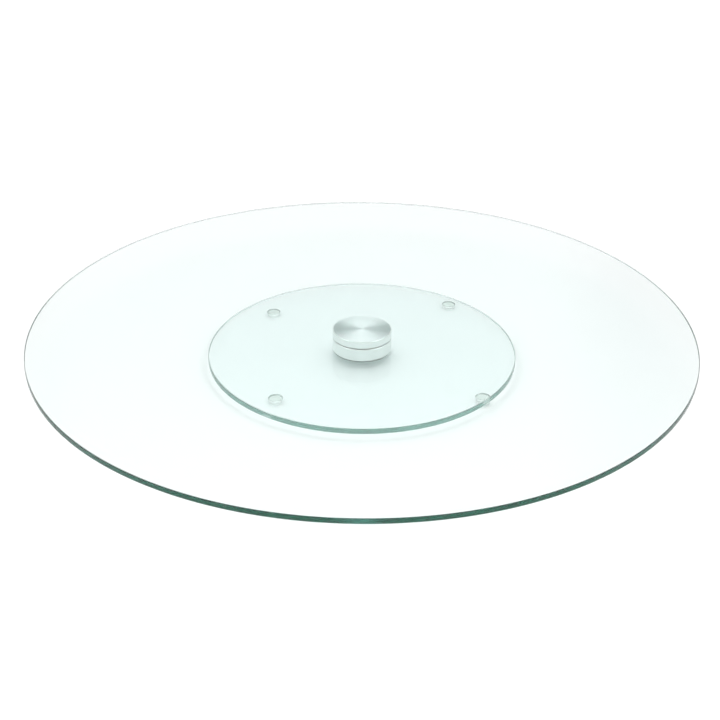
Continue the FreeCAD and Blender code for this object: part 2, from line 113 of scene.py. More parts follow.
def around(mean: float, share: float) -> dict[str, float]:
    """The ends of a range about a mean, a share of it to each side."""
    return {"To Min": mean * (1.0 - share), "To Max": mean * (1.0 + share)}


def add(
    tree: bpy.types.NodeTree,
    kind: str,
    values: dict[str | int, object] | None = None,
    links: dict[str | int, bpy.types.NodeSocket] | None = None,
    **options: object,
) -> bpy.types.Node:
    """Adds one node with its settings, socket values and incoming links.

    Args:
        tree: the node tree that gets the node.
        kind: the node's type name, such as "ShaderNodeBump".
        values: what its unlinked input sockets are set to, by name or number.
        links: the output sockets joined to its inputs, by name or number.
        options: properties of the node itself, such as operation="MULTIPLY".

    Returns:
        The new node.
    """
    node = tree.nodes.new(kind)
    for name, value in options.items():
        setattr(node, name, value)
    for key, value in (values or {}).items():
        node.inputs[key].default_value = value
    for key, socket in (links or {}).items():
        tree.links.new(socket, node.inputs[key])
    return node


def new_material(name: str) -> tuple[bpy.types.Material, bpy.types.NodeTree]:
    """Makes an empty node material.

    Args:
        name: the finish's common name.

    Returns:
        The material and its node tree.
    """
    material = bpy.data.materials.new(name)
    material.use_nodes = True
    material.node_tree.nodes.clear()
    return material, material.node_tree


def output(
    tree: bpy.types.NodeTree,
    surface: bpy.types.Node,
    volume: bpy.types.Node | None = None,
) -> None:
    """Wires a surface shader, and a volume shader where there is one, to the material's output.

    Args:
        tree: the material's node tree.
        surface: the surface shader node.
        volume: the volume shader node, or None for an opaque finish.
    """
    links = {"Surface": surface.outputs[0]}
    if volume is not None:
        links["Volume"] = volume.outputs[0]
    add(tree, "ShaderNodeOutputMaterial", links=links)


def object_place(tree: bpy.types.NodeTree) -> bpy.types.NodeSocket:
    """The shaded point in the object's own coordinates, in metres."""
    return add(tree, "ShaderNodeTexCoord").outputs["Object"]


def distance_from_axis(
    tree: bpy.types.NodeTree, place: bpy.types.NodeSocket
) -> bpy.types.NodeSocket:
    """The shaded point's distance from the Z axis: the length of (x, y, 0).

    Args:
        tree: the material's node tree.
        place: the socket with the point in object coordinates.

    Returns:
        The socket with the distance in metres.
    """
    flat = add(tree, "ShaderNodeVectorMath", {1: (1.0, 1.0, 0.0)}, {0: place}, operation="MULTIPLY")
    return add(
        tree, "ShaderNodeVectorMath", links={0: flat.outputs[0]}, operation="LENGTH"
    ).outputs["Value"]


def along_profile(tree: bpy.types.NodeTree, place: bpy.types.NodeSocket) -> bpy.types.NodeSocket:
    """A number that runs across turning marks on faces and on walls alike: radius plus height.

    Args:
        tree: the material's node tree.
        place: the socket with the point in object coordinates.

    Returns:
        The socket with radius plus height in metres.
    """
    height = add(tree, "ShaderNodeSeparateXYZ", links={0: place}).outputs["Z"]
    radius = distance_from_axis(tree, place)
    return add(tree, "ShaderNodeMath", links={0: radius, 1: height}, operation="ADD").outputs[0]


# ----------------------------------------
# Finishes
# ----------------------------------------


@dataclass(frozen=True)
class FloatGlass:
    """Toughened soda-lime float glass with a flat polished edge.

    Clear across its faces and deep bottle green along its edge, because the iron in the glass
    only tells over a long path. The wheel that polishes the edge leaves it a touch softer than
    the faces, and the small bevels at the rims are ground and frosted.

    Attributes:
        tint: what a passage through the sheet leaves of white.
        absorb: the colour that stays over one metre of glass at the density.
        density: strength of the absorption per metre.
        wheel_mm: spacing of the polishing marks; a real wheel leaves finer ones than can show.
        edge_roughness: roughness of the polished edge.
        bevel_roughness: roughness of the ground bevels.
        gloss_spread: share by which gloss changes from place to place.
        edge_lean: the most that the edge's normals stand up.
        bevel_lean: how far the bevels' normals stand up.
        bevel_band: how far from that a bevel's normal may be.
        ior: index of refraction of soda-lime glass.
    """

    tint: str = "#fdffff"
    absorb: tuple[float, float, float] = (0.0, 0.5, 0.4)
    density: float = 7.2
    wheel_mm: float = 0.6
    edge_roughness: float = 0.2
    bevel_roughness: float = 0.45
    gloss_spread: float = 0.4
    edge_lean: float = 0.4
    bevel_lean: float = math.sqrt(0.5)
    bevel_band: float = 0.27
    ior: float = 1.52

    def material(self) -> bpy.types.Material:
        """Builds the glass, and tells its surfaces apart by how far their normals stand up.

        The faces' normals are upright, the edge's are level, and the bevels' lie halfway between.

        Returns:
            The material.
        """
        material, tree = new_material("Toughened float glass")
        marks = add(
            tree, "ShaderNodeTexNoise",
            {"Scale": per_metre(self.wheel_mm), "Detail": 2.0},
            {"Vector": object_place(tree)},
        )
        normal = add(tree, "ShaderNodeTexCoord").outputs["Normal"]
        upright = add(tree, "ShaderNodeSeparateXYZ", links={0: normal}).outputs["Z"]
        lean = add(tree, "ShaderNodeMath", links={0: upright}, operation="ABSOLUTE").outputs[0]
        on_edge = add(tree, "ShaderNodeMath", {1: self.edge_lean}, {0: lean}, operation="LESS_THAN")
        on_bevel = add(
            tree, "ShaderNodeMath",
            {1: self.bevel_lean, 2: self.bevel_band},
            {0: lean},
            operation="COMPARE",
        )
        polished = add(
            tree, "ShaderNodeMath",
            {1: self.edge_roughness},
            {0: on_edge.outputs[0]},
            operation="MULTIPLY",
        )
        ground = add(
            tree, "ShaderNodeMath",
            {1: self.bevel_roughness},
            {0: on_bevel.outputs[0], 2: polished.outputs[0]},
            operation="MULTIPLY_ADD",
        )
        uneven = add(
            tree, "ShaderNodeMapRange",
            around(1.0, self.gloss_spread),
            {"Value": marks.outputs[0]},
        )
        roughness = add(
            tree, "ShaderNodeMath",
            links={0: ground.outputs[0], 1: uneven.outputs[0]},
            operation="MULTIPLY",
        )
        surface = add(
            tree, "ShaderNodeBsdfPrincipled",
            {
                "Base Color": linear(self.tint),
                "Transmission Weight": 1.0,
                "IOR": self.ior,
            },
            {"Roughness": roughness.outputs[0]},
        )
        volume = add(
            tree, "ShaderNodeVolumeAbsorption",
            {"Color": (*self.absorb, 1.0), "Density": self.density},
        )
        output(tree, surface, volume)
        return material


@dataclass(frozen=True)
class ClearResin:
    """A clear cast or moulded resin: bond film, adhesive disc or bumper foot.

    Attributes:
        name: the finish's common name.
        tint: what a passage through it leaves of white.
        ior: index of refraction.
        roughness: mean roughness.
        ripple_mm: width of the faint flow ripples.
        ripple_height: their height in metres.
        gloss_spread: share by which gloss changes from place to place.
    """

    name: str
    tint: str
    ior: float
    roughness: float
    ripple_mm: float
    ripple_height: float
    gloss_spread: float = 0.4

    def material(self) -> bpy.types.Material:
        """Builds the resin with faint ripples and uneven gloss.

        Returns:
            The material.
        """
        material, tree = new_material(self.name)
        place = object_place(tree)
        ripple = add(
            tree, "ShaderNodeTexNoise",
            {"Scale": per_metre(self.ripple_mm), "Detail": 1.0},
            {"Vector": place},
        )
        bump = add(
            tree, "ShaderNodeBump",
            {"Strength": 1.0, "Distance": self.ripple_height},
            {"Height": ripple.outputs[0]},
        )
        roughness = add(
            tree, "ShaderNodeMapRange",
            around(self.roughness, self.gloss_spread),
            {"Value": ripple.outputs[0]},
        )
        surface = add(
            tree, "ShaderNodeBsdfPrincipled",
            {
                "Base Color": linear(self.tint),
                "Transmission Weight": 1.0,
                "IOR": self.ior,
            },
            {"Roughness": roughness.outputs[0], "Normal": bump.outputs[0]},
        )
        output(tree, surface)
        return material


@dataclass(frozen=True)
class TurnedMetal:
    """Metal turned on a lathe: fine rings about the axis, which stretch highlights across them.

    Attributes:
        name: the finish's common name.
        colour: the metal's own colour.
        roughness: mean roughness.
        anisotropy: how much smoother the metal is along the rings than across them.
        ring_mm: spacing of the tool marks that show; the finest real ones are closer together.
        ring_height: height of the marks in metres.
        streak: share by which gloss changes from ring to ring.
        uses_uv: whether the piece carries the "turned" UV map that gives the rings' direction.
        rotation: share of a turn that lays the smooth direction along the rings.
    """

    name: str
    colour: str
    roughness: float
    anisotropy: float
    ring_mm: float
    ring_height: float
    streak: float
    uses_uv: bool = False
    rotation: float = 0.25

    def material(self) -> bpy.types.Material:
        """Builds the metal with rings in its bump and its gloss.

        Returns:
            The material.
        """
        material, tree = new_material(self.name)
        rings = add(
            tree, "ShaderNodeTexNoise",
            {"Scale": per_metre(self.ring_mm), "Detail": 3.0, "Roughness": 0.6},
            {"W": along_profile(tree, object_place(tree))},
            noise_dimensions="1D",
        )
        bump = add(
            tree, "ShaderNodeBump",
            {"Strength": 1.0, "Distance": self.ring_height},
            {"Height": rings.outputs[0]},
        )
        roughness = add(
            tree, "ShaderNodeMapRange",
            around(self.roughness, self.streak),
            {"Value": rings.outputs[0]},
        )
        links = {"Roughness": roughness.outputs[0], "Normal": bump.outputs[0]}
        if self.uses_uv:
            tangent = add(tree, "ShaderNodeTangent", direction_type="UV_MAP", uv_map=UV_NAME)
            links["Tangent"] = tangent.outputs[0]
        surface = add(
            tree, "ShaderNodeBsdfPrincipled",
            {
                "Base Color": linear(self.colour),
                "Metallic": 1.0,
                "Anisotropic": self.anisotropy,
                "Anisotropic Rotation": self.rotation,
            },
            links,
        )
        output(tree, surface)
        return material


@dataclass(frozen=True)
class GrainedMetal:
    """Metal without a direction: ground, polished, pressed or plated.

    Attributes:
        name: the finish's common name.
        colour: the metal's own colour.
        shade: the colour it drifts towards in patches.
        roughness: mean roughness.
        patch_mm: width of the patches of colour and gloss.
        grain_mm: width of the grain in the bump.
        grain_height: height of that grain in metres.
        gloss_spread: share by which gloss changes from patch to patch.
    """

    name: str
    colour: str
    shade: str
    roughness: float
    patch_mm: float
    grain_mm: float
    grain_height: float
    gloss_spread: float = 0.3

    def material(self) -> bpy.types.Material:
        """Builds the metal with patches in colour and gloss and a grain in its bump.

        Returns:
            The material.
        """
        material, tree = new_material(self.name)
        place = object_place(tree)
        patch = add(
            tree, "ShaderNodeTexNoise",
            {"Scale": per_metre(self.patch_mm), "Detail": 2.0},
            {"Vector": place},
        )
        grain = add(
            tree, "ShaderNodeTexNoise",
            {"Scale": per_metre(self.grain_mm), "Detail": 3.0},
            {"Vector": place},
        )
        colour = add(
            tree, "ShaderNodeMix",
            {"A": linear(self.colour), "B": linear(self.shade)},
            {"Factor": patch.outputs[0]},
            data_type="RGBA",
        )
        roughness = add(
            tree, "ShaderNodeMapRange",
            around(self.roughness, self.gloss_spread),
            {"Value": patch.outputs[0]},
        )
        bump = add(
            tree, "ShaderNodeBump",
            {"Strength": 1.0, "Distance": self.grain_height},
            {"Height": grain.outputs[0]},
        )
        surface = add(
            tree, "ShaderNodeBsdfPrincipled",
            {"Metallic": 1.0},
            {
                "Base Color": colour.outputs["Result"],
                "Roughness": roughness.outputs[0],
                "Normal": bump.outputs[0],
            },
        )
        output(tree, surface)
        return material


@dataclass(frozen=True)
class NaturalNylon:
    """Moulded polyamide in its own ivory: satin, faintly see-through, with a fine mould grain.

    Attributes:
        colour: the nylon's colour.
        shade: the colour where it is thicker or drier.
        roughness: mean roughness.
        grain_mm: width of the mould grain.
        cloud_mm: width of the clouds of colour.
        grain_height: height of the grain in metres.
        gloss_spread: share by which gloss changes from place to place.
        glow: how much light passes under the surface.
        glow_depth: how far it reaches.
        ior: index of refraction.
    """

    colour: str = "#f0eee4"
    shade: str = "#e4e0d2"
    roughness: float = 0.42
    grain_mm: float = 0.25
    cloud_mm: float = 5.0
    grain_height: float = 4e-6
    gloss_spread: float = 0.15
    glow: float = 0.15
    glow_depth: float = 0.6 * MM
    ior: float = 1.53

    def material(self) -> bpy.types.Material:
        """Builds the nylon.

        Returns:
            The material.
        """
        material, tree = new_material("Natural nylon")
        place = object_place(tree)
        cloud = add(
            tree, "ShaderNodeTexNoise",
            {"Scale": per_metre(self.cloud_mm), "Detail": 2.0},
            {"Vector": place},
        )
        grain = add(
            tree, "ShaderNodeTexNoise",
            {"Scale": per_metre(self.grain_mm), "Detail": 2.0},
            {"Vector": place},
        )
        colour = add(
            tree, "ShaderNodeMix",
            {"A": linear(self.colour), "B": linear(self.shade)},
            {"Factor": cloud.outputs[0]},
            data_type="RGBA",
        )
        roughness = add(
            tree, "ShaderNodeMapRange",
            around(self.roughness, self.gloss_spread),
            {"Value": grain.outputs[0]},
        )
        bump = add(
            tree, "ShaderNodeBump",
            {"Strength": 1.0, "Distance": self.grain_height},
            {"Height": grain.outputs[0]},
        )
        surface = add(
            tree, "ShaderNodeBsdfPrincipled",
            {
                "IOR": self.ior,
                "Subsurface Weight": self.glow,
                "Subsurface Scale": self.glow_depth,
            },
            {
                "Base Color": colour.outputs["Result"],
                "Roughness": roughness.outputs[0],
                "Normal": bump.outputs[0],
            },
        )
        output(tree, surface)
        return material


# ----------------------------------------
# Surfaces of revolution
# ----------------------------------------


@dataclass(frozen=True)
class Measured:
    """A round CAD node's sizes at rest.

    Attributes:
        x: the place of its axis.
        y: the place of its axis.
        radius: its largest radius.
        bore: its smallest radius, 0 where it reaches the axis.
        bottom: its lowest height.
        top: its highest height.
    """

    x: float
    y: float
    radius: float
    bore: float
    bottom: float
    top: float

    @classmethod
    def of(cls, node: str) -> "Measured":
        """Measures a node.

        Args:
            node: the CAD node's name.

        Returns:
            Its axis, radii and heights.
        """
        low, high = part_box(node)
        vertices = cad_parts[node].data.vertices
        points = np.empty(3 * len(vertices))
        vertices.foreach_get("co", points)
        points = points.reshape(-1, 3)
        x, y = (low.x + high.x) / 2, (low.y + high.y) / 2
        reach = np.hypot(points[:, 0] - x, points[:, 1] - y)
        return cls(x, y, float(reach.max()), float(reach.min()), low.z, high.z)


def rounded_outline(
    corners: Sequence[tuple[float, float, float]],
    closed: bool,
    arc_steps: int,
    longest_run: float,
) -> tuple[np.ndarray, np.ndarray]:
    """Rounds the corners of a profile and gives the points and outward normals along it.

    At each corner the arc touches both runs: with half the corner's opening as the half angle, the
    arc starts rounding / tan(half angle) from the corner, and its centre lies on the bisector
    rounding / sin(half angle) from the corner. The normal is the unit vector between the arc's
    centre and the point, turned outwards, so it is continuous all along the profile. Long runs are
    divided evenly. The profile has the solid on its left, so it runs outwards below, then up.

    Args:
        corners: radius, height and rounding of each corner; the ends of an open profile need none.
        closed: whether the last corner joins the first.
        arc_steps: points along each arc, less one.
        longest_run: the greatest length of one straight step.

    Returns:
        Points of shape (n, 2) as radius and height, and unit normals of the same shape.
    """
    table = np.array(corners, float)
    place, rounding = table[:, :2], table[:, 2]
    before, after = np.roll(place, 1, axis=0), np.roll(place, -1, axis=0)
    inner = slice(None) if closed else slice(1, -1)
    place_in, rounding_in = place[inner], rounding[inner][:, None]
    back = before[inner] - place_in
    back /= np.linalg.norm(back, axis=1, keepdims=True)
    on = after[inner] - place_in
    on /= np.linalg.norm(on, axis=1, keepdims=True)
    half = 0.5 * np.arccos(np.clip((back * on).sum(1), -1.0, 1.0))[:, None]
    bisector = back + on
    bisector /= np.linalg.norm(bisector, axis=1, keepdims=True)
    centre = place_in + bisector * rounding_in / np.sin(half)
    left_turn = np.sign(back[:, 1] * on[:, 0] - back[:, 0] * on[:, 1])[:, None]
    start_normal = np.stack([-back[:, 1], back[:, 0]], axis=1)
    start_angle = np.arctan2(start_normal[:, 1], start_normal[:, 0])[:, None]
    sweep = left_turn * (math.pi - 2.0 * half)
    angles = start_angle + sweep * np.linspace(0.0, 1.0, arc_steps + 1)[None, :]
    normals = np.stack([np.cos(angles), np.sin(angles)], axis=2)
    points = centre[:, None, :] + left_turn[:, :, None] * rounding_in[:, :, None] * normals
    points, normals = points.reshape(-1, 2), normals.reshape(-1, 2)
    if closed:
        points, normals = np.vstack([points, points[:1]]), np.vstack([normals, normals[:1]])
    else:
        points = np.vstack([place[:1], points, place[-1:]])
        normals = np.vstack([normals[:1], normals, normals[-1:]])
    length = np.concatenate([[0.0], np.cumsum(np.linalg.norm(np.diff(points, axis=0), axis=1))])
    steps = np.arange(0.0, length[-1], longest_run)
    gap = np.abs(steps[:, None] - length[None, :]).min(axis=1)
    runs = np.sort(np.concatenate([length, steps[gap > CROWDED * longest_run]]))
    points = np.stack([np.interp(runs, length, points[:, k]) for k in (0, 1)], axis=1)
    normals = np.stack([np.interp(runs, length, normals[:, k]) for k in (0, 1)], axis=1)
    normals /= np.linalg.norm(normals, axis=1, keepdims=True)
    return points, normals


def turned_piece(
    name: str,
    corners: Sequence[tuple[float, float, float]],
    closed: bool = False,
    axis: tuple[float, float] = (0.0, 0.0),
    segments: int = 256,
    arc_steps: int = 5,
    longest_run: float = 10 * MM,
) -> bpy.types.Object:
    """Turns a profile about an upright axis into a closed mesh.

    A point is (axis x + r cos a, axis y + r sin a, z), with r and z from the rounded profile and a
    from an even division of the full turn. An open profile starts and ends on the axis, where its
    ring is one vertex. The UV map runs along the turning marks: u is the share of the turn, and v
    is the distance along the profile in metres.

    Args:
        name: the piece's name.
        corners: the profile, as rounded_outline takes it.
        closed: whether the profile closes on itself, as a ring's does.
        axis: where the axis stands.
        segments: divisions of the turn.
        arc_steps: divisions of each rounding.
        longest_run: the greatest length of one straight step of the profile.

    Returns:
        The new object, at the origin.
    """
    points, normals = rounded_outline(corners, closed, arc_steps, longest_run)
    run = np.concatenate([[0.0], np.cumsum(np.linalg.norm(np.diff(points, axis=0), axis=1))])
    if closed:
        points, normals = points[:-1], normals[:-1]
    rows = len(points)
    turn = 2.0 * math.pi * np.arange(segments) / segments
    ring = np.stack([np.cos(turn), np.sin(turn)], axis=1)
    solid = np.ones((rows, segments), bool)
    if not closed:
        solid[[0, -1], 1:] = False
    xy = np.array(axis) + points[:, None, :1] * ring[None, :, :]
    z = np.broadcast_to(points[:, None, 1:], (rows, segments, 1))
    grid = np.concatenate([xy, z], axis=2)
    lean = np.concatenate(
        [
            normals[:, None, :1] * ring[None, :, :],
            np.broadcast_to(normals[:, None, 1:], (rows, segments, 1)),
        ],
        axis=2,
    )
    index = np.cumsum(solid.ravel()).reshape(rows, segments) - 1
    if not closed:
        index[0, :], index[-1, :] = index[0, 0], index[-1, 0]
    column = np.arange(segments)
    following = (column + 1) % segments
    upper = (np.arange(rows) + 1) % rows if closed else np.arange(1, rows)
    lower = np.arange(len(upper))
    around_quad = ((lower, column), (lower, following), (upper, following), (upper, column))
    quads = np.stack([index[level][:, place] for level, place in around_quad], axis=2)
    left = np.broadcast_to(column / segments, (len(lower), segments))
    low_v = np.broadcast_to(run[lower][:, None], (len(lower), segments))
    high_v = np.broadcast_to(run[lower + 1][:, None], (len(lower), segments))
    right = left + 1.0 / segments
    around_face = ((left, low_v), (right, low_v), (right, high_v), (left, high_v))
    uv = np.stack([np.stack(pair, axis=2) for pair in around_face], axis=2)
    faces, coordinates = [], []
    first, last = (0, len(lower)) if closed else (1, len(lower) - 1)
    if not closed:
        faces += quads[0][:, [0, 2, 3]].tolist()
        coordinates.append(uv[0][:, [0, 2, 3]].reshape(-1, 2))
    faces += quads[first:last].reshape(-1, 4).tolist()
    coordinates.append(uv[first:last].reshape(-1, 2))
    if not closed:
        faces += quads[-1][:, [0, 1, 2]].tolist()
        coordinates.append(uv[-1][:, [0, 1, 2]].reshape(-1, 2))
    mesh = bpy.data.meshes.new(name)
    mesh.from_pydata(grid[solid], [], faces)
    layer = mesh.uv_layers.new(name=UV_NAME)
    layer.data.foreach_set("uv", np.concatenate(coordinates).ravel())
    mesh.polygons.foreach_set("use_smooth", np.ones(len(faces), bool))
    mesh.normals_split_custom_set_from_vertices(lean[solid])
    mesh.update()
    piece = bpy.data.objects.new(name, mesh)
    bpy.context.scene.collection.objects.link(piece)
    return piece


def settle(piece: bpy.types.Object, body: Body, slot: Slot, *nodes: str) -> bpy.types.Object:
    """Puts a finished piece in the CAD's place.

    Args:
        piece: the finished piece, at the origin.
        body: the body it rides on.
        slot: the record's material slot; not used.
        nodes: the CAD nodes it stands for.

    Returns:
        The same piece.
    """
    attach(piece, body.value)
    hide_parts(*nodes)
    return piece


def dress(piece: bpy.types.Object, *materials: bpy.types.Material) -> bpy.types.Object:
    """Gives a piece its materials in the order of its face slots.

    Args:
        piece: the piece, or a CAD node whose mesh is kept.
        materials: one material for each slot.

    Returns:
        The same piece.
    """
    piece.data.materials.clear()
    for material in materials:
        piece.data.materials.append(material)
    return piece


# ----------------------------------------
# Sub-assemblies
# ----------------------------------------


@dataclass
class GlassPlate:
    """A round glass plate with a polished edge.

    Attributes:
        node: the CAD node it stands for, which gives its size and place.
        body: the body it rides on.
        arris: the small bevel at each rim.
        softening: rounding of the arris's own edges.
        segments: divisions of the turn.
        step: the greatest length of one step across a face.
    """

    node: str
    body: Body
    arris: float = 0.5 * MM
    softening: float = 0.12 * MM
    segments: int = 720
    step: float = 20 * MM

    def build(self) -> list[bpy.types.Object]:
        """Turns the plate and makes it glass.

        Returns:
            The plate alone, in place.
        """
        size = Measured.of(self.node)
        inside = size.radius - self.arris
        plate = turned_piece(
            f"{self.node}_polished",
            [
                (0.0, size.bottom, 0.0),
                (inside, size.bottom, self.softening),
                (size.radius, size.bottom + self.arris, self.softening),
                (size.radius, size.top - self.arris, self.softening),
                (inside, size.top, self.softening),
                (0.0, size.top, 0.0),
            ],
            segments=self.segments,
            longest_run=self.step,
        )
        dress(plate, FloatGlass().material())
        return [settle(plate, self.body, Slot.GLASS, self.node)]


@dataclass
class BondFilms:
    """The cured bond above and below the hub.

    Each film is in optical contact with what it joins, so its faces reach a hair into the glass and
    into the metal instead of leaving air between them.

    Attributes:
        contact: how far a film reaches into each neighbour.
        meniscus: rounding of a film's edge.
    """

    contact: float = 0.02 * MM
    meniscus: float = 0.05 * MM

    def build(self) -> list[bpy.types.Object]:
        """Turns both films.

        Returns:
            The pieces, in place.
        """
        # Cured between two smooth faces: no gloss of its own, so metal shows straight through it.
        finish = ClearResin(
            "Cured UV bond", tint="#fdfefe", ior=1.5, roughness=0.0, ripple_mm=6.0,
            ripple_height=0.0,
        ).material()
        disc, ring = Measured.of("platter_bond_film"), Measured.of("base_bond_film")
        upper = turned_piece(
            "platter_bond_film_cured",
            [
                (0.0, disc.bottom - self.contact, 0.0),
                (disc.radius, disc.bottom - self.contact, self.meniscus),
                (disc.radius, disc.top + self.contact, self.meniscus),
                (0.0, disc.top + self.contact, 0.0),
            ],
        )
        lower = turned_piece(
            "base_bond_film_cured",
            [
                (ring.bore, ring.bottom - self.contact, self.meniscus),
                (ring.radius, ring.bottom - self.contact, self.meniscus),
                (ring.radius, ring.top + self.contact, self.meniscus),
                (ring.bore, ring.top + self.contact, self.meniscus),
            ],
            closed=True,
        )
        dress(upper, finish)
        dress(lower, finish)
        return [
            settle(upper, Body.PLATTER, Slot.BOND_FILM, "platter_bond_film"),
            settle(lower, Body.BASE, Slot.BOND_FILM, "base_bond_film"),
        ]


@dataclass
class Hub:
    """The two turned aluminium halves of the swivel hub.

    Attributes:
        edge_bevel: the bevel on the cap's rims and the body's upper rim.
        toe_inset: how far the body draws in at its foot.
        toe_height: the height over which it draws in.
        break_edge: rounding of every turned outside edge.
        tool_nose: rounding left in every turned recess.
        segments: divisions of the turn.
        step: the greatest length of one step along the profile.
        facing_up: how far a normal stands up, at the least, on a face that looks up.
        taper_band: how far from the taper's own lean a normal on it may be.
    """

    edge_bevel: float = 0.5 * MM
    toe_inset: float = 0.7 * MM
    toe_height: float = 1.8 * MM
    break_edge: float = 0.15 * MM
    tool_nose: float = 0.1 * MM
    segments: int = 360
    step: float = 1 * MM
    facing_up: float = 0.99
    taper_band: float = 0.02

    def build(self) -> list[bpy.types.Object]:
        """Turns both halves.

        Returns:
            The pieces, in place.
        """
        # Faced off in fine rings: they draw every light out into a bow tie across the face.
        faced = TurnedMetal(
            "Spun aluminium, clear anodised", colour="#f6f9f9", roughness=0.33, anisotropy=0.985,
            ring_mm=0.5, ring_height=3e-6, streak=0.25, uses_uv=True,
        ).material()
        # Turned and left satin: even, pale walls with soft bands and no mirror images.
        walled = TurnedMetal(
            "Satin turned aluminium", colour="#e9eeec", roughness=0.2, anisotropy=0.6,
            ring_mm=0.4, ring_height=3e-6, streak=0.2, uses_uv=True,
        ).material()
        # Painted shade: the dark grey colour stands in for the contact shadow round the hub's foot
        # and reads as a dark line there; the toe is also dull and rough.
        painted_shade_toe = TurnedMetal(
            "Aluminium toe painted dark for shade", colour="#7b8783", roughness=0.5, anisotropy=0.3,
            ring_mm=0.4, ring_height=6e-6, streak=0.2, uses_uv=True,
        ).material()
        cap, body = self.cap(), self.standing_body()
        for piece in (cap, body):
            dress(piece, walled, faced, painted_shade_toe)
            self.split_faces(piece)
        return [
            settle(cap, Body.PLATTER, Slot.HUB_ALUMINIUM, "hub_cap"),
            settle(body, Body.BASE, Slot.HUB_ALUMINIUM, "hub_body"),
        ]

    def split_faces(self, piece: bpy.types.Object) -> None:
        """Gives each face its slot by how its normal leans.

        Walls are level and stay satin, faces that look up are spun, and the taper at the body's
        foot, which leans down by the angle whose sine is inset over slope length, is painted dark
        as shade.

        Args:
            piece: one half of the hub, with its materials in the order walls, faces, taper.
        """
        polygons = piece.data.polygons
        normals = np.empty(3 * len(polygons))
        polygons.foreach_get("normal", normals)
        upright = normals[2::3]
        taper = -self.toe_inset / math.hypot(self.toe_inset, self.toe_height)
        on_taper = np.abs(upright - taper) < self.taper_band
        slots = np.select([upright > self.facing_up, on_taper], [1, 2], 0)
        polygons.foreach_set("material_index", slots.astype(np.int32))

    def cap(self) -> bpy.types.Object:
        """Turns the cap: a recess for the upper race and a blind bore for the spindle.

        Returns:
            The cap.
        """
        size, race = Measured.of("hub_cap"), Measured.of("upper_thrust_race")
        spindle, shaft = Measured.of("spindle"), Measured.of("bearing_inner_ring")
        inside = size.radius - self.edge_bevel
        nose, edge = self.tool_nose, self.break_edge
        return turned_piece(
            "hub_cap_turned",
            [
                (0.0, spindle.top, 0.0),
                (shaft.bore, spindle.top, nose),
                (shaft.bore, size.bottom, nose),
                (race.bore, size.bottom, nose),
                (race.bore, race.top, nose),
                (race.radius, race.top, nose),
                (race.radius, size.bottom, nose),
                (inside, size.bottom, edge),
                (size.radius, size.bottom + self.edge_bevel, edge),
                (size.radius, size.top - self.edge_bevel, edge),
                (inside, size.top, edge),
                (0.0, size.top, 0.0),
            ],
            segments=self.segments,
            longest_run=self.step,
        )

    def standing_body(self) -> bpy.types.Object:
        """Turns the body: a bearing seat under a lip and a recess for the lower race.

        Returns:
            The body.
        """
        size, race = Measured.of("hub_body"), Measured.of("lower_thrust_race")
        bearing = Measured.of("bearing_outer_ring")
        nose, edge = self.tool_nose, self.break_edge
        return turned_piece(
            "hub_body_turned",
            [
                (bearing.radius, size.bottom, nose),
                (size.radius - self.toe_inset, size.bottom, edge),
                (size.radius, size.bottom + self.toe_height, edge),
                (size.radius, size.top - self.edge_bevel, edge),
                (size.radius - self.edge_bevel, size.top, edge),
                (race.radius, size.top, nose),
                (race.radius, race.bottom, nose),
                (race.bore, race.bottom, nose),
                (race.bore, size.top, nose),
                (size.bore, size.top, nose),
                (size.bore, bearing.top, nose),
                (bearing.radius, bearing.top, nose),
            ],
            closed=True,
            segments=self.segments,
            longest_run=self.step,
        )


